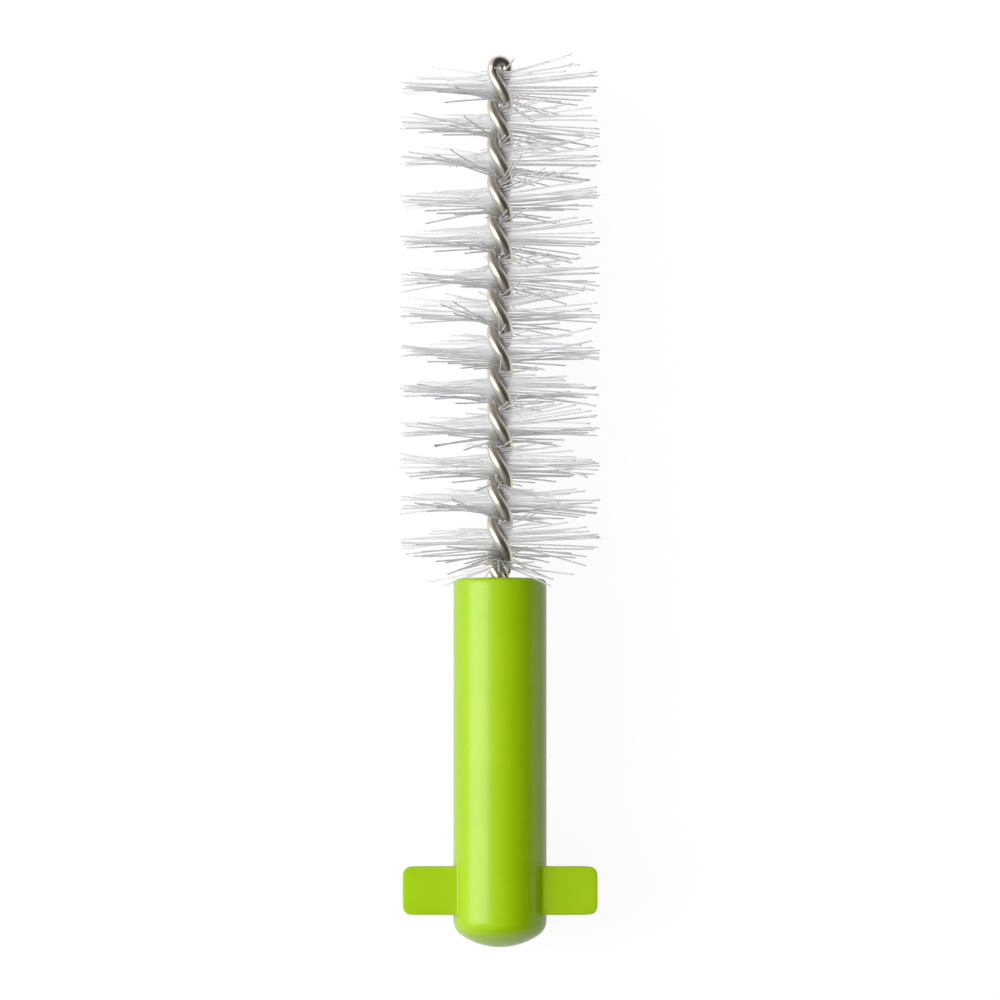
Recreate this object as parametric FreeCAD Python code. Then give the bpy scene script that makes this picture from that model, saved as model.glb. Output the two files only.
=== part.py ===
"""Interdental brush head that clicks into a handle, in millimetres.

A moulded holder carries a twisted core wire, and the wire grips rows of nylon filaments. The wire is one
length, folded in half at the tip, so that its two legs wind round each other like a rope and pinch every
filament at its middle. The cut ends of the wire sit deep inside the holder.

+X runs along the head from the holder to the bristled tip, +Z is up, and the holder's two ears reach out
along Y. The origin is on the axis, in the plane of the ears' front shoulders, where the head seats.
"""

import FreeCAD
import Part
import math
import os

Vector = FreeCAD.Vector

# Holder
BARREL_DIAMETER = 2.3
BARREL_LENGTH = 7.1  # ears' front shoulders to the front face
FRONT_EDGE_RADIUS = 0.12
EAR_SPAN = 4.8  # ear tip to ear tip
EAR_WIDTH = 1.2  # along the axis
EAR_THICKNESS = 1.0
EAR_CORNER_RADIUS = 0.2  # seen from above
EAR_EDGE_RADIUS = 0.06  # round the two flat sides
TAIL_LENGTH = 0.8  # ears' back edge to the end of the dome
DOME_HEIGHT = 0.65
DOME_CORNER_RADIUS = 0.42

# Core wire
WIRE_DIAMETER = 0.29
WIRE_SIDES = 10  # flat sides that stand for the round section
WIRE_REACH = 13.0  # front face to the tip of the fold
WIRE_EMBED = 5.0  # front face to the cut ends inside the holder
TWIST_PITCH = 1.88  # one full turn of the pair
TWIST_RUN_OUT = 0.2  # stretch below the fold in which the twist fades to straight
FOLD_TURN = 20.0  # degrees, from the plane of the ears to the plane of the fold
SOCKET_CLEARANCE = 0.01  # twisted wire to the socket in the holder

# Bristles
BRUSH_DIAMETER = 5.0  # filament tip to filament tip
FILAMENT_DIAMETER = 0.06
FILAMENT_SIDES = 6
FILAMENT_GAP = 0.01  # least gap between neighbours along the axis
GRIP_CLEARANCE = 0.005  # filament to each leg of the wire
BARE_BASE = 0.3  # front face to the first filament
BARE_TIP = 0.38  # last filament to the tip of the fold

# Sizes that follow from those above
BARREL_RADIUS = BARREL_DIAMETER / 2
WIRE_RADIUS = WIRE_DIAMETER / 2
LEG_OFFSET = WIRE_RADIUS + FILAMENT_DIAMETER / 2 + GRIP_CLEARANCE  # axis to a leg's centre line
TWIST_RATE = -2 * math.pi / TWIST_PITCH  # radians per millimetre, left-handed
QUARTER_TURN = TWIST_PITCH / 4
HALF_TURN = TWIST_PITCH / 2
DOME_X = -EAR_WIDTH - TAIL_LENGTH + DOME_HEIGHT  # where the dome meets the straight side
FRONT_X = BARREL_LENGTH
TIP_X = FRONT_X + WIRE_REACH
FOLD_X = TIP_X - WIRE_RADIUS - LEG_OFFSET  # centre of the half circle at the tip
RUN_OUT_X = FOLD_X - TWIST_RUN_OUT
WIRE_END_X = FRONT_X - WIRE_EMBED
SOCKET_RADIUS = LEG_OFFSET + WIRE_RADIUS + SOCKET_CLEARANCE
SOCKET_END_X = WIRE_END_X - SOCKET_CLEARANCE
LEGS = (1, -1)  # which side of the axis each leg of the wire is on at the fold


# Paths of the wire


def twist_angle(x):
    """Angle of the first leg about the axis, from +Y towards +Z."""
    at_fold = math.radians(FOLD_TURN)
    if x >= RUN_OUT_X:
        return at_fold - TWIST_RATE * (FOLD_X - x) ** 2 / (2 * TWIST_RUN_OUT)
    return at_fold - TWIST_RATE * (TWIST_RUN_OUT / 2 + RUN_OUT_X - x)


def twist_slope(x):
    """Change of twist_angle along the axis, in radians per millimetre."""
    if x >= RUN_OUT_X:
        return TWIST_RATE * (FOLD_X - x) / TWIST_RUN_OUT
    return TWIST_RATE


def leg_point(x, leg):
    """Point on the centre line of one leg of the wire."""
    angle = twist_angle(x)
    return Vector(x, leg * LEG_OFFSET * math.cos(angle), leg * LEG_OFFSET * math.sin(angle))


def leg_tangent(x, leg):
    """Direction of that leg, towards the tip."""
    angle = twist_angle(x)
    swing = leg * LEG_OFFSET * twist_slope(x)
    return Vector(1, -swing * math.sin(angle), swing * math.cos(angle)).normalize()


def arc_edge(start, tangent, end):
    """Circular arc that leaves start along tangent and reaches end."""
    chord = end - start
    along = chord.dot(tangent)
    inward = chord - tangent * along
    half_angle = math.atan2(inward.Length, along)
    radius = chord.Length / (2 * math.sin(half_angle))
    rise = inward.normalize() * (radius * (1 - math.cos(half_angle)))
    middle = start + tangent * (radius * math.sin(half_angle)) + rise
    return Part.Arc(start, middle, end).toShape()


def biarc(start, start_tangent, end, end_tangent):
    """Two arcs that join start to end smoothly and keep the tangent at either end."""
    chord = end - start
    a = 2 * (1 - start_tangent.dot(end_tangent))
    b = 2 * chord.dot(start_tangent + end_tangent)
    reach = (math.sqrt(b * b + 4 * a * chord.dot(chord)) - b) / (2 * a)
    meeting = (start + end + (start_tangent - end_tangent) * reach) * 0.5
    return [arc_edge(start, start_tangent, meeting), arc_edge(end, end_tangent * -1, meeting)]


def leg_edges(start_x, end_x, leg):
    """Centre line of one leg between two places on the axis, in biarcs of at most a quarter turn."""
    count = math.ceil((end_x - start_x) / QUARTER_TURN)
    knots = [start_x + (end_x - start_x) * i / count for i in range(count + 1)]
    edges = []
    for low, high in zip(knots, knots[1:]):
        start, end = leg_point(low, leg), leg_point(high, leg)
        edges += biarc(start, leg_tangent(low, leg), end, leg_tangent(high, leg))
    return edges


def ring(centre, normal, diameter, sides):
    """Closed outline with equal flat sides, square to normal, inside a circle of the given diameter."""
    turn = FreeCAD.Rotation(Vector(0, 0, 1), normal)
    corners = []
    for i in range(sides):
        angle = 2 * math.pi * i / sides
        spoke = Vector(math.cos(angle), math.sin(angle), 0) * (diameter / 2)
        corners.append(centre + turn.multVec(spoke))
    return Part.makePolygon(corners + corners[:1])


# Pieces


def turned_barrel():
    """Barrel turned about the axis: domed tail, straight side, softened front edge and the wire's socket.

    The dome is a shallow crown that runs into a tighter corner, each a circular arc.
    """
    corner_height = BARREL_RADIUS - DOME_CORNER_RADIUS
    crown_rise = DOME_HEIGHT**2 + corner_height**2 - DOME_CORNER_RADIUS**2
    crown_radius = crown_rise / (2 * (DOME_HEIGHT - DOME_CORNER_RADIUS))
    crown_centre = Vector(DOME_X - DOME_HEIGHT + crown_radius, 0, 0)
    corner_centre = Vector(DOME_X, corner_height, 0)
    edge_centre = Vector(FRONT_X - FRONT_EDGE_RADIUS, BARREL_RADIUS - FRONT_EDGE_RADIUS, 0)
    meeting = corner_centre - crown_centre
    meeting_angle = math.atan2(meeting.y, meeting.x)

    def arc(centre, radius, start_angle, end_angle):
        angles = (start_angle, (start_angle + end_angle) / 2, end_angle)
        points = [centre + Vector(math.cos(angle), math.sin(angle), 0) * radius for angle in angles]
        return Part.Arc(*points).toShape()

    curves = [
        arc(crown_centre, crown_radius, math.pi, meeting_angle),
        arc(corner_centre, DOME_CORNER_RADIUS, meeting_angle, math.pi / 2),
        arc(edge_centre, FRONT_EDGE_RADIUS, math.pi / 2, 0),
    ]
    crown, corner, edge = curves
    socket = [
        edge.lastVertex().Point,
        Vector(FRONT_X, SOCKET_RADIUS, 0),
        Vector(SOCKET_END_X, SOCKET_RADIUS, 0),
        Vector(SOCKET_END_X, 0, 0),
        crown.firstVertex().Point,
    ]
    lines = [Part.makeLine(corner.lastVertex().Point, edge.firstVertex().Point)]
    lines += [Part.makeLine(start, end) for start, end in zip(socket, socket[1:])]
    outline = Part.Wire(Part.__sortEdges__(curves + lines))
    return Part.Face(outline).revolve(Vector(0, 0, 0), Vector(1, 0, 0), 360)


def ears():
    """The two ears, the ends of one flat bar across the barrel."""
    corner = Vector(-EAR_WIDTH, -EAR_SPAN / 2, -EAR_THICKNESS / 2)
    bar = Part.makeBox(EAR_WIDTH, EAR_SPAN, EAR_THICKNESS, corner)
    upright = [edge for edge in bar.Edges if edge.BoundBox.ZLength > EAR_THICKNESS / 2]
    bar = bar.makeFillet(EAR_CORNER_RADIUS, upright)
    flat = [edge for edge in bar.Edges if edge.BoundBox.ZLength < EAR_THICKNESS / 2]
    return bar.makeFillet(EAR_EDGE_RADIUS, flat)


def holder():
    """Barrel and ears in one moulding."""
    return turned_barrel().fuse(ears())


def core_wire():
    """The whole wire: up one leg, round the fold at the tip and down the other leg."""
    fold_top = Vector(FOLD_X + LEG_OFFSET, 0, 0)
    edges = [Part.Arc(leg_point(FOLD_X, LEGS[0]), fold_top, leg_point(FOLD_X, LEGS[1])).toShape()]
    for leg in LEGS:
        edges += leg_edges(WIRE_END_X, RUN_OUT_X, leg) + leg_edges(RUN_OUT_X, FOLD_X, leg)
    path = Part.Wire(Part.__sortEdges__(edges))
    first = path.OrderedEdges[0]
    start = path.OrderedVertexes[0].Point
    section = ring(start, first.tangentAt(first.FirstParameter), WIRE_DIAMETER, WIRE_SIDES)
    expected = Part.Face(section).Area * path.Length
    print("core wire:", round(path.Length, 2), "mm long, section times length", round(expected, 4), "mm3")
    return path.makePipeShell([section], True, False)


def filament(x):
    """Straight filament across the axis, square to the line from leg to leg."""
    angle = twist_angle(x) + math.pi / 2
    across = Vector(0, math.cos(angle), math.sin(angle)) * BRUSH_DIAMETER
    section = ring(Vector(x, 0, 0) - across / 2, across, FILAMENT_DIAMETER, FILAMENT_SIDES)
    return Part.Face(section).extrude(across)


def bristle_rows():
    """Filaments in groups, one for each half turn of the wire, counted from the holder."""
    per_row = math.floor(HALF_TURN / (FILAMENT_DIAMETER + FILAMENT_GAP))
    spacing = HALF_TURN / per_row
    first_x = FRONT_X + BARE_BASE
    count = math.floor((TIP_X - BARE_TIP - first_x) / spacing) + 1
    filaments = [filament(first_x + i * spacing) for i in range(count)]
    return [Part.Compound(filaments[i : i + per_row]) for i in range(0, count, per_row)]


def main():
    nodes = {"holder": holder(), "core_wire": core_wire()}
    for number, row in enumerate(bristle_rows(), 1):
        nodes[f"bristle_row_{number:02d}"] = row
    os.makedirs("parts", exist_ok=True)
    for name, shape in nodes.items():
        shape.exportStep(f"parts/{name}.step")
        print(name, len(shape.Solids), "solids,", round(shape.Volume, 4), "mm3")


main()
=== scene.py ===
# %% [markdown]
# # An interdental brush head
# The brush head is a lime green moulded holder with two ears, a steel wire that is folded in half and
# twisted, and nylon filaments pinched between the two legs of the wire. It is 22 mm long, so nearly
# everything that the eye enjoys here is smaller than a millimetre: the soft gloss on the plastic, the
# rope of the wire and the comb of the bristles.
#
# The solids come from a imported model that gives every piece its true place. They could be given a
# finish as they are, but their wire and filaments have flat sides, and their filaments are all
# straight and alike. So this lesson builds a finer piece for each of them, gives it a finish, and
# then sets the floor, the lights and the camera.

# %% Load the frame
import math
import random

import bmesh
import bpy
from mathutils import Matrix, Vector


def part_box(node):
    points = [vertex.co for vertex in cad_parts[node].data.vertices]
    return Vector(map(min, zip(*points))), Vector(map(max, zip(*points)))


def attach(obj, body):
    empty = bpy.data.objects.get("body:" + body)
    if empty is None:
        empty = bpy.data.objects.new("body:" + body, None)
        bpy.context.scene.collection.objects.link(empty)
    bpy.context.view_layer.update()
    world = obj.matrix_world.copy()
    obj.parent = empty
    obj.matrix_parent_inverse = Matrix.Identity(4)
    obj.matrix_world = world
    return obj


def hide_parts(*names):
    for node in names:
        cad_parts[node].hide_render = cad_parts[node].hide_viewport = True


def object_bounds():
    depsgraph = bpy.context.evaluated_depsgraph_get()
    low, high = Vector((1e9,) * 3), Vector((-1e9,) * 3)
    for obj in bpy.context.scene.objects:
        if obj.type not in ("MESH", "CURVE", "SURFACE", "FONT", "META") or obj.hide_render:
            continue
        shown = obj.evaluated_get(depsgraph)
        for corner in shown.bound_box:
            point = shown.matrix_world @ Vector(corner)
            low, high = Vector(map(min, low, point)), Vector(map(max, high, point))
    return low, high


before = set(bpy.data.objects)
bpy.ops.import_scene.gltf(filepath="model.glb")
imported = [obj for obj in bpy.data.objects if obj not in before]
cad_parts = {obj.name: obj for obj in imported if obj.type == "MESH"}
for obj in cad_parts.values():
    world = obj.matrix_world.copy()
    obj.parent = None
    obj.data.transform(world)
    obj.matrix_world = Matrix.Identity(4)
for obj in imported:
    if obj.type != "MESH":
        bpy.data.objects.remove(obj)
cad_low, cad_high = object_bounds()

MM = 0.001  # the scene is in metres
print("nodes:", len(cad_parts))
print("box in mm:", [round(value / MM, 2) for value in (*cad_low, *cad_high)])

# %% [markdown]
# ## Landmarks
# The frame runs along X from the holder to the bristled tip, with the ears along Y. The ends of the
# pieces could be typed in, but they are read from the boxes of the solids, so that nothing can drift
# from its place. Sizes that a box doesn't give, such as a radius or a pitch, are written in
# millimetres in the cell that first needs them.

# %% Landmarks
holder_low, holder_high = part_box("holder")
wire_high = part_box("core_wire")[1]

DOME_END = holder_low.x
FRONT = holder_high.x
EAR_TIP = holder_high.y
TIP = wire_high.x
print("holder", round((FRONT - DOME_END) / MM, 2), "mm long")
print("wire reaches", round((TIP - FRONT) / MM, 2), "mm out of it")

# %% [markdown]
# ## Tools for finishes
# A colour is written as an sRGB hex value, the way a colour picker gives it. Light adds up in linear
# numbers, so one function turns the one into the other.
#
# A finish is a small graph of nodes. It could be drawn by hand in the shader editor, but a script can
# be read and repeated. One function adds a node, sets its fields and sockets, and links the sockets
# that take their value from another node. A socket whose name isn't unique is linked by its number,
# such as `_0`.

# %% Colour and node helpers


def linear(hex_colour):
    """Linear RGBA of an sRGB hex value such as 'A0B0C0'."""
    parts = [int(hex_colour[i : i + 2], 16) / 255 for i in (0, 2, 4)]
    return [c / 12.92 if c <= 0.04045 else ((c + 0.055) / 1.055) ** 2.4 for c in parts] + [1.0]


def add_node(tree, kind, settings=(), **links):
    """Adds a node: settings are (name, value) pairs for its fields or sockets, links are socket=source."""
    node = tree.nodes.new(kind)
    for name, value in settings:
        if hasattr(node, name):
            setattr(node, name, value)
        else:
            node.inputs[name].default_value = value
    for name, source in links.items():
        socket = int(name[1:]) if name[1:].isdigit() else name.replace("_", " ")
        tree.links.new(source, node.inputs[socket])
    return node


def new_material(name):
    """A material whose graph holds only an output, with that graph and output."""
    material = bpy.data.materials.new(name)
    material.use_nodes = True
    tree = material.node_tree
    tree.nodes.clear()
    return material, tree, add_node(tree, "ShaderNodeOutputMaterial")


print("a mid grey of 808080 is", round(linear("808080")[0], 3), "in linear light")

# %% [markdown]
# ## Lime polypropylene
# The holder is injection moulded in polypropylene, a slightly waxy plastic. Light goes a little way
# in before it comes back, most of all the green, so the shaded side stays a deep clean green. A plain
# glossy shader would look like painted metal, so half of the light scatters below the surface. The
# mould was spark eroded and then lightly polished, which leaves a grain of a few hundredths of a
# millimetre and a soft, wide highlight. Broad, faint clouds of colour are left where the melt flowed.

# %% Lime polypropylene
GRAIN = 0.05 * MM
GRAIN_DEPTH = 0.004 * MM
FLOW_WIDTH = 1.6 * MM
FLOW_TONES = ((0.3, "9FC600"), (0.7, "A5CA02"))
SCATTER_REACH = 1.0 * MM


def lime_polypropylene():
    """Waxy moulded plastic with a fine grain and faint flow marks."""
    material, tree, output = new_material("lime_polypropylene")
    place = add_node(tree, "ShaderNodeTexCoord").outputs["Object"]
    cloudy = [("Scale", 1 / FLOW_WIDTH), ("Detail", 3.0)]
    flow = add_node(tree, "ShaderNodeTexNoise", cloudy, Vector=place).outputs["Fac"]
    colour = add_node(tree, "ShaderNodeValToRGB", Fac=flow)
    for stop, (position, tone) in zip(colour.color_ramp.elements, FLOW_TONES):
        stop.position = position
        stop.color = linear(tone)
    grainy = [("Scale", 1 / GRAIN), ("Detail", 2.0)]
    grain = add_node(tree, "ShaderNodeTexNoise", grainy, Vector=place).outputs["Fac"]
    satin = [("To Min", 0.26), ("To Max", 0.34)]
    roughness = add_node(tree, "ShaderNodeMapRange", satin, Value=grain)
    shallow = [("Strength", 0.35), ("Distance", GRAIN_DEPTH)]
    bump = add_node(tree, "ShaderNodeBump", shallow, Height=grain)
    surface = add_node(
        tree,
        "ShaderNodeBsdfPrincipled",
        [
            ("IOR", 1.49),
            ("Subsurface Weight", 0.5),
            ("Subsurface Radius", (0.4, 0.8, 0.3)),
            ("Subsurface Scale", SCATTER_REACH),
        ],
        Base_Color=colour.outputs["Color"],
        Roughness=roughness.outputs["Result"],
        Normal=bump.outputs["Normal"],
    )
    tree.links.new(surface.outputs["BSDF"], output.inputs["Surface"])
    return material


plastic = lime_polypropylene()
print(plastic.name, "has", len(plastic.node_tree.nodes), "nodes")

# %% [markdown]
# ## Drawn stainless steel
# The wire was pulled through a die, which leaves fine scratches along its length. They blur a
# reflection across the wire more than along it, so the highlight looks silky. The scratches could
# follow the object's axes, but the wire turns away from those all the time. So they are drawn in the
# wire's own coordinates, round and along, which the mesh will carry as a UV map in millimetres. The
# steel has a warm tint, because it reflects a little less of the blue.

# %% Drawn stainless steel
WIRE_MAP = "along_wire"
STREAK_WIDTH = 0.03  # millimetres, coarser than real die marks, which would be too fine to show
STREAK_LENGTH = 1.2  # millimetres
STREAK_DEPTH = 0.002 * MM
STEEL_TONES = ((0.3, "C8C0B1"), (0.7, "E6DED0"))


def drawn_steel():
    """Bare metal with streaks along the wire."""
    material, tree, output = new_material("drawn_stainless_steel")
    place = add_node(tree, "ShaderNodeUVMap", [("uv_map", WIRE_MAP)]).outputs["UV"]
    stretch = [("Scale", (1 / STREAK_WIDTH, 1 / STREAK_LENGTH, 1.0))]
    stretched = add_node(tree, "ShaderNodeMapping", stretch, Vector=place).outputs["Vector"]
    scratched = [("Scale", 1.0), ("Detail", 3.0)]
    streaks = add_node(tree, "ShaderNodeTexNoise", scratched, Vector=stretched).outputs["Fac"]
    colour = add_node(tree, "ShaderNodeValToRGB", Fac=streaks)
    for stop, (position, tone) in zip(colour.color_ramp.elements, STEEL_TONES):
        stop.position = position
        stop.color = linear(tone)
    silky = [("To Min", 0.26), ("To Max", 0.38)]
    roughness = add_node(tree, "ShaderNodeMapRange", silky, Value=streaks)
    shallow = [("Strength", 0.3), ("Distance", STREAK_DEPTH)]
    bump = add_node(tree, "ShaderNodeBump", shallow, Height=streaks)
    surface = add_node(
        tree,
        "ShaderNodeBsdfPrincipled",
        [("Metallic", 1.0)],
        Base_Color=colour.outputs["Color"],
        Roughness=roughness.outputs["Result"],
        Normal=bump.outputs["Normal"],
    )
    tree.links.new(surface.outputs["BSDF"], output.inputs["Surface"])
    return material


steel = drawn_steel()
print(steel.name, "has", len(steel.node_tree.nodes), "nodes")

# %% [markdown]
# ## Nylon filament
# Each bristle is an extruded nylon monofilament, clear to milky white. One alone is nearly
# see-through, and a row of them turns pale grey where light is lost between them. White paint would
# give chalky sticks, so more than half of the light goes through. Filaments are never quite alike, so
# the mesh will store one number for each, and the finish reads it to make some a little whiter than
# others.

# %% Nylon filament
STRAND_TONE = "strand_tone"
NYLON_TONES = ("F4F5F6", "FEFEFE")


def nylon_monofilament():
    """Half-clear extruded nylon, each strand in its own tone."""
    material, tree, output = new_material("nylon_monofilament")
    tone = add_node(tree, "ShaderNodeAttribute", [("attribute_name", STRAND_TONE)])
    colour = add_node(tree, "ShaderNodeValToRGB", Fac=tone.outputs["Fac"])
    for stop, white in zip(colour.color_ramp.elements, NYLON_TONES):
        stop.color = linear(white)
    surface = add_node(
        tree,
        "ShaderNodeBsdfPrincipled",
        [("IOR", 1.53), ("Roughness", 0.32), ("Transmission Weight", 0.6)],
        Base_Color=colour.outputs["Color"],
    )
    tree.links.new(surface.outputs["BSDF"], output.inputs["Surface"])
    return material


nylon = nylon_monofilament()
print(nylon.name, "has", len(nylon.node_tree.nodes), "nodes")

# %% [markdown]
# ## A piece from points and faces
# Every piece below ends the same way: points and faces become a mesh object with smooth shading and
# one finish. The faces could be listed with care so that they all look outward, but Blender can turn
# them that way by itself. The piece then rides on the one body, because the head has no joints, and
# stands for its solids.

# %% Make a piece
BODY = "root"


def make_piece(name, points, faces, material, slot, nodes):
    """A smooth mesh object with one finish, which stands for the solids of the named nodes."""
    mesh = bpy.data.meshes.new(name)
    mesh.from_pydata(points, [], faces)
    shaped = bmesh.new()
    shaped.from_mesh(mesh)
    bmesh.ops.recalc_face_normals(shaped, faces=shaped.faces)
    shaped.to_mesh(mesh)
    shaped.free()
    mesh.shade_smooth()
    mesh.materials.append(material)
    piece = bpy.data.objects.new(name, mesh)
    bpy.context.scene.collection.objects.link(piece)
    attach(piece, BODY)
    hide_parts(*nodes)
    return piece


print("every piece rides on", BODY)

# %% [markdown]
# ## The barrel's outline
# The barrel is a turned shape, so half of its outline is enough: a domed tail, the straight side, a
# softened front edge and the front face, which closes round the wire, because the plastic is moulded
# onto it. The dome is a shallow crown that runs into a tighter corner. The outline could be turned in
# many small steps, but a coarse cage under a subdivision surface is smoother with far fewer points.
# Lines that should stay firm get a second line close by.

# %% The barrel's outline
BARREL_RADIUS = 1.15 * MM
DOME_HEIGHT = 0.65 * MM
DOME_CORNER_RADIUS = 0.42 * MM
FRONT_EDGE_RADIUS = 0.12 * MM
EAR_WIDTH = 1.2 * MM
HOLD = 0.06 * MM  # from a firm line to the line that holds it
EAR_BACK = -EAR_WIDTH
EAR_FRONT = 0.0
EAR_MIDDLE = (EAR_BACK + EAR_FRONT) / 2
EAR_LINES = [EAR_BACK, EAR_BACK + HOLD, EAR_MIDDLE, EAR_FRONT - HOLD, EAR_FRONT]
SIDE_SHARES = (0.15, 0.4, 0.65, 0.9)  # lines along the straight side, from the ears to the front
CROWN_POINTS = 5
CORNER_POINTS = 4


def arc_points(centre, radius, start, end, count):
    """Points in a plane on an arc, from one angle to another in degrees."""
    angles = [math.radians(start + (end - start) * i / (count - 1)) for i in range(count)]
    return [(centre[0] + radius * math.cos(a), centre[1] + radius * math.sin(a)) for a in angles]


def dome_outline():
    """Points (x, r) of the tail, from its tip to the straight side."""
    dome_x = DOME_END + DOME_HEIGHT
    corner_r = BARREL_RADIUS - DOME_CORNER_RADIUS
    rise = DOME_HEIGHT**2 + corner_r**2 - DOME_CORNER_RADIUS**2
    crown = rise / (2 * (DOME_HEIGHT - DOME_CORNER_RADIUS))
    crown_x = DOME_END + crown
    meeting = math.degrees(math.atan2(corner_r, dome_x - crown_x))
    corner = arc_points((dome_x, corner_r), DOME_CORNER_RADIUS, meeting, 90, CORNER_POINTS)
    return arc_points((crown_x, 0.0), crown, 180, meeting, CROWN_POINTS) + corner[1:]


def barrel_outline():
    """Points (x, r) from the tip of the dome to the middle of the front face."""
    side = [EAR_BACK - HOLD, *EAR_LINES, EAR_FRONT + HOLD, *(FRONT * share for share in SIDE_SHARES)]
    edge = (FRONT - FRONT_EDGE_RADIUS, BARREL_RADIUS - FRONT_EDGE_RADIUS)
    face = [edge[1] - HOLD, BARREL_RADIUS / 2, BARREL_RADIUS / 4, 0.0]
    outline = dome_outline() + [(x, BARREL_RADIUS) for x in side]
    outline += arc_points(edge, FRONT_EDGE_RADIUS, 90, 0, CORNER_POINTS)
    return outline + [(FRONT, r) for r in face]


print("outline of", len(barrel_outline()), "points")

# %% [markdown]
# ## Rings round the barrel
# The outline could be turned by a screw modifier, in equal steps. But the ears need lines at their
# own edges, so the rings are set out here: a few lines within the ear, one at its edge, and the rest
# up to the top, alike in all four quarters, so that both ears find theirs. Subdivision draws a ring
# in towards its middle, more where its points are wide apart, so each point is set out by as much as
# it will lose.

# %% Rings round the barrel
EAR_HALF_THICKNESS = 0.5 * MM
EAR_EDGE_ANGLE = math.degrees(math.asin(EAR_HALF_THICKNESS / BARREL_RADIUS))
HOLD_ANGLE = math.degrees(HOLD / BARREL_RADIUS)
EAR_ANGLES = [0, 11, EAR_EDGE_ANGLE - HOLD_ANGLE, EAR_EDGE_ANGLE]
OPEN_ANGLES = [EAR_EDGE_ANGLE + HOLD_ANGLE, 41, 53, 65, 77.5]
ON_AXIS = 1e-6 * MM  # a ring smaller than this is one point


def round_angles():
    """Angles of the lines, all the way round from the middle of one ear."""
    quarter = EAR_ANGLES + OPEN_ANGLES
    half = quarter + [90] + [180 - angle for angle in reversed(quarter[1:])]
    return [math.radians(angle) for angle in half + [angle + 180 for angle in half]]


def turned_ring(x, radius, angles):
    """Points of one ring of the cage."""
    ring = []
    for i, angle in enumerate(angles):
        before = math.cos(angle - angles[i - 1])
        after = math.cos(angles[(i + 1) % len(angles)] - angle)
        set_out = radius * 6 / (4 + before + after)  # it settles at 4 parts of itself, 1 of each beside it
        ring.append((x, set_out * math.cos(angle), set_out * math.sin(angle)))
    return ring


def turned_rings(outline, angles):
    """Points of all rings, and for each ring the numbers of its points."""
    points, rings = [], []
    for x, radius in outline:
        first = len(points)
        if radius < ON_AXIS:
            points.append((x, 0.0, 0.0))
            rings.append([first] * len(angles))
        else:
            points += turned_ring(x, radius, angles)
            rings.append(list(range(first, len(points))))
    return points, rings


print("rings of", len(round_angles()), "points")

# %% [markdown]
# ## The ears
# A box pushed into a cylinder would leave a hard seam. The ears grow out of the barrel's own faces
# instead: the cage leaves a window in the barrel on each side, and layers of the window's edge are
# drawn out to the ear's tip, where they close in to round the corners. The last layer has all the
# window's points and closes the ear.

# %% The ears
EAR_CORNER_RADIUS = 0.2 * MM


def ear_layers():
    """Distance from the axis and half width of each layer of an ear, from the barrel to the tip."""
    corner = (EAR_TIP - EAR_CORNER_RADIUS, EAR_WIDTH / 2 - EAR_CORNER_RADIUS)
    straight = [((BARREL_RADIUS + EAR_TIP) / 2, EAR_WIDTH / 2)]
    return straight + arc_points(corner, EAR_CORNER_RADIUS, 90, 0, CORNER_POINTS)


def drawn_layers(base, side):
    """The window's points as each layer places them, the first just outside the barrel."""
    drawn = [{place: (x, y + side * HOLD, z) for place, (x, y, z) in base.items()}]
    for distance, half_width in ear_layers():
        squeeze = half_width / (EAR_WIDTH / 2)
        layer = {}
        for place, (x, _, z) in base.items():
            layer[place] = (EAR_MIDDLE + (x - EAR_MIDDLE) * squeeze, side * distance, z)
        drawn.append(layer)
    return drawn


def window_edge(rows, columns):
    """Places (row, column) along the edge of a window, once round."""
    there = [(0, c) for c in range(columns)] + [(r, columns) for r in range(rows)]
    back = [(rows, c) for c in range(columns, 0, -1)] + [(r, 0) for r in range(rows, 0, -1)]
    return there + back


def grow_ear(points, faces, window, side):
    """Draws the edge of a window in the barrel out to one ear's tip and closes it there."""
    rows, columns = len(window) - 1, len(window[0]) - 1
    edge = window_edge(rows, columns)
    numbers = {(r, c): window[r][c] for r in range(rows + 1) for c in range(columns + 1)}
    base = {place: points[number] for place, number in numbers.items()}
    drawn = drawn_layers(base, side)
    for layer in drawn:
        inner, numbers = numbers, {}
        for place in base if layer is drawn[-1] else edge:
            numbers[place] = len(points)
            points.append(layer[place])
        for start, end in zip(edge, edge[1:] + edge[:1]):
            faces.append([inner[start], inner[end], numbers[end], numbers[start]])
    for r in range(rows):
        for c in range(columns):
            corners = (r, c), (r, c + 1), (r + 1, c + 1), (r + 1, c)
            faces.append([numbers[corner] for corner in corners])


print("an ear is drawn out in", len(ear_layers()) + 1, "layers")

# %% [markdown]
# ## Barrel and ears in one skin
# Neighbouring rings are joined by faces, except in the two windows, where the ears go in. The edges
# could be rounded with a bevel, but two levels of subdivision do it everywhere at once, and they give
# the small fillets that a mould has.

# %% The holder
EAR_SPREAD = len(EAR_ANGLES) - 1
SMOOTH_LEVELS = 2


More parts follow.
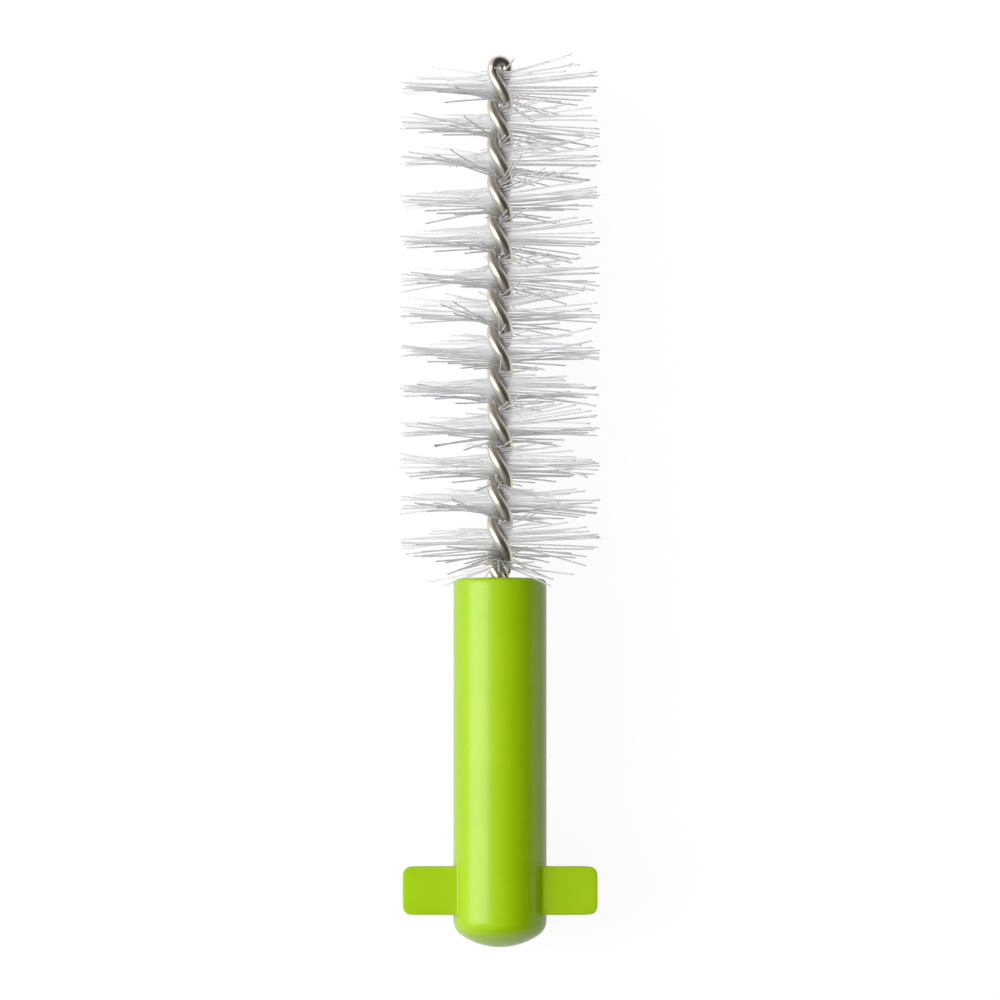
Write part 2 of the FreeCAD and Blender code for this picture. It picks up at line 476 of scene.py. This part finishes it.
def holder_cage():
    """Points and faces of the barrel with both ears."""
    outline, angles = barrel_outline(), round_angles()
    count = len(angles)
    points, rings = turned_rings(outline, angles)
    ring_places = [x for x, _ in outline]
    ear_rings = [ring_places.index(line) for line in EAR_LINES]
    ear_middles = ((1, 0), (-1, count // 2))
    windows = {
        (ring, (middle + step) % count)
        for ring in ear_rings[:-1]
        for _, middle in ear_middles
        for step in range(-EAR_SPREAD, EAR_SPREAD)
    }
    faces = []
    for ring, (here, there) in enumerate(zip(rings, rings[1:])):
        for line in range(count):
            if (ring, line) not in windows:
                after = (line + 1) % count
                corners = [here[line], here[after], there[after], there[line]]
                faces.append(list(dict.fromkeys(corners)))
    for side, middle in ear_middles:
        lines = [(middle + step) % count for step in range(-EAR_SPREAD, EAR_SPREAD + 1)]
        grow_ear(points, faces, [[rings[ring][line] for line in lines] for ring in ear_rings], side)
    return points, faces


holder = make_piece("moulded_holder", *holder_cage(), plastic, "holder_plastic", ["holder"])
smooth = holder.modifiers.new("soft_edges", "SUBSURF")
smooth.levels = smooth.render_levels = SMOOTH_LEVELS
print(holder.name, "has a cage of", len(holder.data.polygons), "faces")

# %% [markdown]
# ## A rod along a path
# The wire and the bristles are both long round rods, so one function sweeps a ring of points along
# any path. A curve with a bevel would do that too, but it gives no say over the points, which later
# carry a map and a tone. The ring is carried from point to point by the smallest turn that keeps it
# square to the path, which stops it from spinning.

# %% Sweep a rod


def sweep(path, radii, sides):
    """Points and faces of a rod along path, with a radius for each of its points and flat caps."""
    last = len(path) - 1
    steps = [path[min(i + 1, last)] - path[max(i - 1, 0)] for i in range(last + 1)]
    tangents = [step.normalized() for step in steps]
    spoke = tangents[0].orthogonal().normalized()
    points, faces = [], []
    for i, (centre, tangent, radius) in enumerate(zip(path, tangents, radii)):
        if i:
            spoke = tangents[i - 1].rotation_difference(tangent) @ spoke
        across = tangent.cross(spoke)
        for side in range(sides):
            angle = 2 * math.pi * side / sides
            points.append(centre + (spoke * math.cos(angle) + across * math.sin(angle)) * radius)
    for ring in range(last):
        here, there = ring * sides, (ring + 1) * sides
        for side in range(sides):
            after = (side + 1) % sides
            faces.append([here + side, here + after, there + after, there + side])
    caps = [list(range(sides)), list(range(len(points) - sides, len(points)))]
    return points, faces + caps


test_rod = sweep([Vector((0.0, 0.0, 0.0)), Vector((1.0, 0.0, 0.0))], [1.0, 1.0], 6)
print("a test rod with six sides has", len(test_rod[1]), "faces")

# %% [markdown]
# ## The folded and twisted wire
# One wire is folded in half, and the fold is held while the two legs are twisted together,
# left-handed here. The twist fades out just below the fold, which stays as a small flat loop at the
# tip. The two legs could be two rods, but one path up one leg, round the fold and down the other is
# what the real wire is, and it has no seam at the loop.

# %% The path of the wire
WIRE_RADIUS = 0.145 * MM
WIRE_DEPTH = 5.0 * MM  # from the front face to the cut ends inside the holder
LEG_OFFSET = 0.18 * MM  # from the axis to the middle of a leg
TWIST_PITCH = 1.88 * MM
TWIST_RATE = 2 * math.pi / TWIST_PITCH
TWIST_RUN_OUT = 0.2 * MM
FOLD_TURN = math.radians(20)
FOLD = TIP - WIRE_RADIUS - LEG_OFFSET
RUN_OUT = FOLD - TWIST_RUN_OUT
WIRE_END = FRONT - WIRE_DEPTH
STEPS_PER_TURN = 40
FOLD_STEPS = 14


def twist_angle(x):
    """Angle of the first leg round the axis."""
    if x >= RUN_OUT:
        return FOLD_TURN + TWIST_RATE * (FOLD - x) ** 2 / (2 * TWIST_RUN_OUT)
    return FOLD_TURN + TWIST_RATE * (TWIST_RUN_OUT / 2 + RUN_OUT - x)


def leg_point(x, leg):
    """Point on the middle line of the first leg, 1, or the second, -1."""
    angle = twist_angle(x)
    return Vector((x, leg * LEG_OFFSET * math.cos(angle), leg * LEG_OFFSET * math.sin(angle)))


def wire_path():
    """Points up one leg, round the fold and down the other leg."""
    steps = round((FOLD - WIRE_END) / TWIST_PITCH * STEPS_PER_TURN)
    stations = [WIRE_END + (FOLD - WIRE_END) * i / steps for i in range(steps + 1)]
    turns = [math.pi * i / FOLD_STEPS for i in range(1, FOLD_STEPS)]
    side = leg_point(FOLD, 1) - Vector((FOLD, 0.0, 0.0))
    fold = [Vector((FOLD + LEG_OFFSET * math.sin(a), 0.0, 0.0)) + side * math.cos(a) for a in turns]
    return [leg_point(x, 1) for x in stations] + fold + [leg_point(x, -1) for x in reversed(stations)]


path = wire_path()
print("path of", len(path), "points")

# %% [markdown]
# ## The wire and its map
# The steel's streaks need to know how far along the wire and how far round it a point lies. Blender
# could unwrap the mesh, but the sweep already holds both: a point's number says which ring it is in
# and which side it is on. In a face that closes the ring, side 0 counts as one full turn, so that the
# streaks run on across it.

# %% The core wire
WIRE_SIDES = 18


def map_along(mesh, path):
    """Gives the wire's mesh a map in millimetres, round and along, and returns the wire's length."""
    reach = [0.0]
    for start, end in zip(path, path[1:]):
        reach.append(reach[-1] + (end - start).length)
    girth = 2 * math.pi * WIRE_RADIUS
    layout = mesh.uv_layers.new(name=WIRE_MAP)
    for face in mesh.polygons:
        sides = [number % WIRE_SIDES for number in face.vertices]
        closes_ring = len(sides) == 4 and 0 in sides and WIRE_SIDES - 1 in sides
        for corner, number, side in zip(face.loop_indices, face.vertices, sides):
            share = (WIRE_SIDES if closes_ring and side == 0 else side) / WIRE_SIDES
            layout.data[corner].uv = (share * girth / MM, reach[number // WIRE_SIDES] / MM)
    return reach[-1]


rod = sweep(path, [WIRE_RADIUS] * len(path), WIRE_SIDES)
wire = make_piece("twisted_core_wire", *rod, steel, "core_steel", ["core_wire"])
print(wire.name, round(map_along(wire.data, path) / MM, 1), "mm long")

# %% [markdown]
# ## Stations of the bristles
# Each filament passes through the middle of the wire, square to the line from leg to leg, so the rows
# climb round the wire as it twists. A row is the filaments of half a turn. Its solids could be copied
# one by one, but the box round them is enough: it says where the row starts and ends, and the
# filaments stand evenly between.

# %% Stations of the bristles
ROWS = sorted(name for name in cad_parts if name.startswith("bristle_row"))
FILAMENT_RADIUS = 0.03 * MM
FILAMENTS_IN_ROW = 13
STATION_GAP = TWIST_PITCH / 2 / FILAMENTS_IN_ROW


def row_stations(name):
    """Places on the axis of a row's filaments, from the box of its solids."""
    low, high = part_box(name)
    first, last = low.x + FILAMENT_RADIUS, high.x - FILAMENT_RADIUS
    gaps = round((last - first) / STATION_GAP)
    return [first + (last - first) * i / gaps for i in range(gaps + 1)]


print(len(ROWS), "rows with", sum(len(row_stations(name)) for name in ROWS), "filaments")

# %% [markdown]
# ## The free end of a strand
# Real strands are a little bent and don't point quite true. A hair system could draw them, but not as
# closed meshes that come out the same each time. Here a seeded random draw gives each free end its
# swing round the wire, its lean along it, its bow and its cut length. An end that would reach past
# the cut is drawn back to it.

# %% The free end of a strand
BRUSH_RADIUS = 2.5 * MM
GRIP = 0.3 * MM  # from the axis to where a strand is free
CUT_SPREAD = 0.045 * MM
BOW = 0.045 * MM
OWN_LEAN = 3.0  # degrees
OWN_SWING = 3.5  # degrees
FREE_POINTS = 9
SEED = 11
draw = random.Random(SEED)


def free_end(x, angle, shared_lean, skew):
    """Middle line of one half of a strand, from where it is free to its cut end."""
    swing = angle + math.radians(draw.gauss(0, OWN_SWING))
    lean = math.tan(math.radians(shared_lean + draw.gauss(0, OWN_LEAN)))
    outward = Vector((0.0, math.cos(swing), math.sin(swing)))
    around = Vector((0.0, -math.sin(swing), math.cos(swing)))
    bow_along, bow_around = draw.gauss(0, BOW), draw.gauss(0, BOW)
    cut = BRUSH_RADIUS - abs(draw.gauss(0, CUT_SPREAD))
    line = []
    for i in range(1, FREE_POINTS + 1):
        share = i / FREE_POINTS
        out = GRIP + (cut - GRIP) * share
        along = lean * (out - GRIP) + bow_along * share * share
        aside = skew * (out - GRIP) + bow_around * share * share
        line.append(Vector((x + along, 0.0, 0.0)) + outward * out + around * aside)
    shrink = min(1.0, cut / math.hypot(line[-1].y, line[-1].z))
    return [Vector((point.x, point.y * shrink, point.z * shrink)) for point in line]


print("free ends of about", round((BRUSH_RADIUS - GRIP) / MM, 1), "mm")

# %% [markdown]
# ## A whole strand
# A strand is two free ends, joined where the wire grips it. It could end in a flat cut, but the ends
# of a brush that is kind to the gums are rounded. A narrower ring at the very end and another just
# behind it are enough at this size.

# %% A whole strand
STRAND_RADIUS = 0.019 * MM
STRAND_OFFSET = 0.012 * MM  # one step to the side within the wire's grip
ROUNDED_SHARES = [0.45, 0.9]  # of the radius, at the very end and half a radius behind it


def strand_line(x, side, leans, skew):
    """Middle line of a whole strand, a number of steps to one side of the middle of the wire's grip."""
    angle = twist_angle(x) + math.pi / 2
    near = free_end(x, angle, leans[0], skew)
    far = free_end(x, angle + math.pi, leans[1], skew)
    offset = Vector((0.0, math.sin(angle), -math.cos(angle))) * (STRAND_OFFSET * side)
    return [point + offset for point in (*reversed(far), Vector((x, 0.0, 0.0)), *near)]


def rounded(line):
    """The line with a point more at either end, and radii that round off the cut ends."""
    start, end = (line[0] - line[1]).normalized(), (line[-1] - line[-2]).normalized()
    behind_start = line[0] - start * STRAND_RADIUS / 2
    behind_end = line[-1] - end * STRAND_RADIUS / 2
    points = [line[0], behind_start, *line[1:-1], behind_end, line[-1]]
    shares = ROUNDED_SHARES + [1.0] * (len(line) - 2) + ROUNDED_SHARES[::-1]
    return points, [share * STRAND_RADIUS for share in shares]


print("strands", round(2 * STRAND_RADIUS / MM, 3), "mm thick")

# %% [markdown]
# ## Splayed ends
# Along the brush, neighbours hold each other up. At its two ends nothing holds the strands from
# outside, so they lean towards the end and fan out sideways. More random numbers would clump here,
# where few strands stand, so lean and fan come from the strand's number in steps that spread evenly,
# because they don't repeat soon.

# %% Splayed ends
END_REACH = 1.1 * MM
FOOT_LEAN = 19.0  # degrees, the most towards the holder
TIP_LEAN = 12.0  # degrees, the most towards the tip
END_SKEW = 45.0  # degrees, the most to either side
LEAN_STEP = 0.382  # share of the whole range from one strand to the next
SKEW_STEP = 0.755  # the same for the fan


def end_splay(x, number):
    """Lean towards the nearer end in degrees and sideways slope of a strand, by its place and number."""
    to_tip = max(0.0, 1 - (TIP - x) / END_REACH)
    to_holder = max(0.0, 1 - (x - FRONT) / END_REACH)
    lean = (TIP_LEAN * to_tip - FOOT_LEAN * to_holder) * (LEAN_STEP * number % 1)
    turn = END_SKEW * max(to_tip, to_holder) * (2 * (SKEW_STEP * number % 1) - 1)
    return lean, math.tan(math.radians(turn))


print("strands splay within", round(END_REACH / MM, 1), "mm of either end")

# %% [markdown]
# ## Rows of bristles
# The solids hold one stout filament at each station. It could be drawn as it is, but real ones are
# finer, so each becomes two strands, which stand about as close as the real ones do, and four at the
# foot of the brush, where they crowd together. Neighbours push on each other, so each station takes
# over most of the lean of the one before and adds a little of its own.

# %% The bristles
STRAND_SIDES = 6
STRAND_STEP = STATION_GAP / 4
STRANDS = (-1, 1)  # steps from the middle of a station
FOOT_STRANDS = (-1.5, -0.5, 0.5, 1.5)
FOOT = 0.6 * MM
SHARED_LEAN = 2.6  # degrees
LEAN_KEPT = 0.75
LEAN_ADDED = 0.66  # as much as keeps the spread of the shared lean the same along the brush

leans = [0.0, 0.0]
strand_count = 0
for name in ROWS:
    points, faces, tones = [], [], []
    for x in row_stations(name):
        leans = [LEAN_KEPT * lean + draw.gauss(0, SHARED_LEAN * LEAN_ADDED) for lean in leans]
        for side in FOOT_STRANDS if x < FRONT + FOOT else STRANDS:
            splay, skew = end_splay(x, strand_count)
            strand_count += 1
            line = strand_line(x + side * STRAND_STEP, side, [lean + splay for lean in leans], skew)
            rod_points, rod_faces = sweep(*rounded(line), STRAND_SIDES)
            faces += [[i + len(points) for i in face] for face in rod_faces]
            points += rod_points
            tones += [draw.random()] * len(rod_points)
    title = name.replace("row", "filaments")
    row = make_piece(title, points, faces, nylon, "bristle_nylon", [name])
    row.data.attributes.new(STRAND_TONE, "FLOAT", "POINT").data.foreach_set("value", tones)
print(strand_count, "strands in", len(ROWS), "rows")

# %% [markdown]
# ## A white cove
# The head lies on a white cove: a table that turns up into a low wall all round, so that every side
# view has white behind it. A strong lamp on a white floor would do, but it would burn out the pale
# bristles. So to the camera, to mirrors and to clear things the cove is almost white by itself, with
# a share of the real light left in, which keeps the head's soft shadow. To all other rays it is matt
# card in a middling grey, so that it doesn't light the head from below.

# %% Matt card
CARD_GREY = "606060"
CARD_GLOW = 0.9


def matt_card():
    """Matt card that is white to the rays that show it and grey to the rest."""
    material, tree, output = new_material("matt_card")
    ray = add_node(tree, "ShaderNodeLightPath").outputs
    either = [("operation", "MAXIMUM")]
    seen, through = ray["Is Camera Ray"], ray["Is Transmission Ray"]
    direct = add_node(tree, "ShaderNodeMath", either, _0=seen, _1=through).outputs["Value"]
    shown = add_node(tree, "ShaderNodeMath", either, _0=direct, _1=ray["Is Glossy Ray"])
    matt = add_node(tree, "ShaderNodeBsdfDiffuse", [("Color", linear(CARD_GREY))]).outputs["BSDF"]
    glow = add_node(tree, "ShaderNodeEmission", [("Strength", CARD_GLOW)]).outputs["Emission"]
    white = add_node(tree, "ShaderNodeAddShader", _0=matt, _1=glow).outputs["Shader"]
    mix = add_node(tree, "ShaderNodeMixShader", Fac=shown.outputs["Value"], _1=matt, _2=white)
    tree.links.new(mix.outputs["Shader"], output.inputs["Surface"])
    return material


card = matt_card()
print(card.name, "has", len(card.node_tree.nodes), "nodes")

# %% [markdown]
# ## The cove's shape
# A bent sheet behind the head would serve one view. This table is round, and its outline is turned
# like the barrel's: flat, then a quarter circle, then the wall. It lies at the height of the lowest
# solid. The wall is near enough for a camera on any side to see, and low enough to leave the light of
# the room alone.

# %% Cove
COVE_RADIUS = 800 * MM
COVE_SWEEP = 50 * MM
COVE_HEIGHT = 90 * MM
COVE_SIDES = 96
SWEEP_POINTS = 9
FLOOR_HEIGHT = cad_low.z
MIDDLE = Vector(((cad_low.x + cad_high.x) / 2, 0.0, 0.0))


def cove_mesh():
    """A round table whose edge sweeps up into a wall."""
    outline = arc_points((COVE_RADIUS, COVE_SWEEP), COVE_SWEEP, 270, 360, SWEEP_POINTS)
    outline.append((COVE_RADIUS + COVE_SWEEP, COVE_HEIGHT))
    points, faces = [], [list(range(COVE_SIDES))]
    for radius, height in outline:
        for side in range(COVE_SIDES):
            angle = 2 * math.pi * side / COVE_SIDES
            x, y = MIDDLE.x + radius * math.cos(angle), radius * math.sin(angle)
            points.append((x, y, FLOOR_HEIGHT + height))
    for ring in range(len(outline) - 1):
        here, there = ring * COVE_SIDES, (ring + 1) * COVE_SIDES
        for side in range(COVE_SIDES):
            after = (side + 1) % COVE_SIDES
            faces.append([here + side, here + after, there + after, there + side])
    mesh = bpy.data.meshes.new("cove")
    mesh.from_pydata(points, [], faces)
    mesh.materials.append(card)
    return mesh


cove = bpy.data.objects.new("cove", cove_mesh())
bpy.context.scene.collection.objects.link(cove)
print("cove floor at", round(FLOOR_HEIGHT / MM, 2), "mm")

# %% [markdown]
# ## A room with a bright side
# The room itself is dim, with a bright wall on the left, where +Y is. That gives the steel something
# to show: each turn of the wire has a light left half and a dark right half. An even grey room would
# leave it dull. The light fades in softly, from the middle of the room to well over on the left.

# %% World
DARK_SIDE = 0.05
LIGHT_SIDE = 0.6
FULL_LIGHT = 0.6  # how far left a direction points where the light is full, from 0 to 1

world = bpy.data.worlds.new("studio")
bpy.context.scene.world = world
world.use_nodes = True
room = world.node_tree
sky = room.nodes["Background"]
sky.inputs["Color"].default_value = linear("FFFFFF")
direction = add_node(room, "ShaderNodeTexCoord").outputs["Generated"]
leftward = add_node(room, "ShaderNodeSeparateXYZ", Vector=direction).outputs["Y"]
fade = [("interpolation_type", "SMOOTHSTEP"), ("From Min", 0.0), ("From Max", FULL_LIGHT)]
fade += [("To Min", DARK_SIDE), ("To Max", LIGHT_SIDE)]
strength = add_node(room, "ShaderNodeMapRange", fade, Value=leftward)
room.links.new(strength.outputs["Result"], sky.inputs["Strength"])
print("room from", DARK_SIDE, "on the right to", LIGHT_SIDE, "on the left")

# %% [markdown]
# ## Soft light from the left
# One big soft box stands on the left and reaches from near the table to high up, which draws the wide
# pale band down the barrel. A point lamp would draw a thin hard line there. A larger, dimmer box
# overhead, leaned a little the same way, fills in without a highlight of its own. The right side has
# no lamp, so the barrel turns to deep green there.

# %% Lights


def soft_box(name, lean, distance, width, length, power):
    """A lamp above the head, leaned to the left by an angle in degrees, with its length along the head."""
    lamp = bpy.data.lights.new(name, "AREA")
    lamp.shape = "RECTANGLE"
    lamp.size, lamp.size_y = width, length
    lamp.energy = power
    box = bpy.data.objects.new(name, lamp)
    bpy.context.scene.collection.objects.link(box)
    back = Vector((0.0, math.sin(math.radians(lean)), math.cos(math.radians(lean))))
    across = Vector((1.0, 0.0, 0.0)).cross(back).normalized()
    turn = Matrix((across, back.cross(across), back)).transposed().to_4x4()
    box.matrix_world = Matrix.Translation(MIDDLE + back * distance) @ turn
    return box


key = soft_box("left_soft_box", lean=56, distance=0.3, width=0.29, length=0.2, power=0.73)
fill = soft_box("overhead_soft_box", lean=5, distance=0.5, width=0.5, length=0.5, power=1.5)
fill.visible_glossy = False
print("lamps:", key.name, key.data.energy, "W,", fill.name, fill.data.energy, "W")

# %% [markdown]
# ## The camera
# The head is seen from above with its tip at the top. A lens of everyday length would stand close and
# see both ends of the head at a slant, so this one is long. The camera leans a few degrees towards
# the holder. That little is enough to close the rows of bristles into lines on the left and to fan
# them out on the right, because the rows climb round the wire. The standard view transform shows the
# colours as they are lit, where others would bend them as film does.

# %% Camera
LENS = 250.0
SENSOR = 36.0
MARGIN = 1.12  # height of the picture, as a share of the head's length
CLIP_RANGE = 20  # how many times nearer or further than the head the camera sees
CAMERA_LEAN = math.radians(2.6)

distance = (cad_high.x - cad_low.x) * MARGIN * LENS / SENSOR
camera_data = bpy.data.cameras.new("plan_camera")
camera_data.lens, camera_data.sensor_width = LENS, SENSOR
camera_data.clip_start, camera_data.clip_end = distance / CLIP_RANGE, distance * CLIP_RANGE
camera = bpy.data.objects.new("plan_camera", camera_data)
bpy.context.scene.collection.objects.link(camera)
right = Vector((0.0, -1.0, 0.0))
back = Vector((-math.sin(CAMERA_LEAN), 0.0, math.cos(CAMERA_LEAN)))
turn = Matrix((right, back.cross(right), back)).transposed().to_4x4()
camera.matrix_world = Matrix.Translation(MIDDLE + back * distance) @ turn
bpy.context.scene.camera = camera
bpy.context.scene.view_settings.view_transform = "Standard"
print("camera", round(distance / MM), "mm above the head")
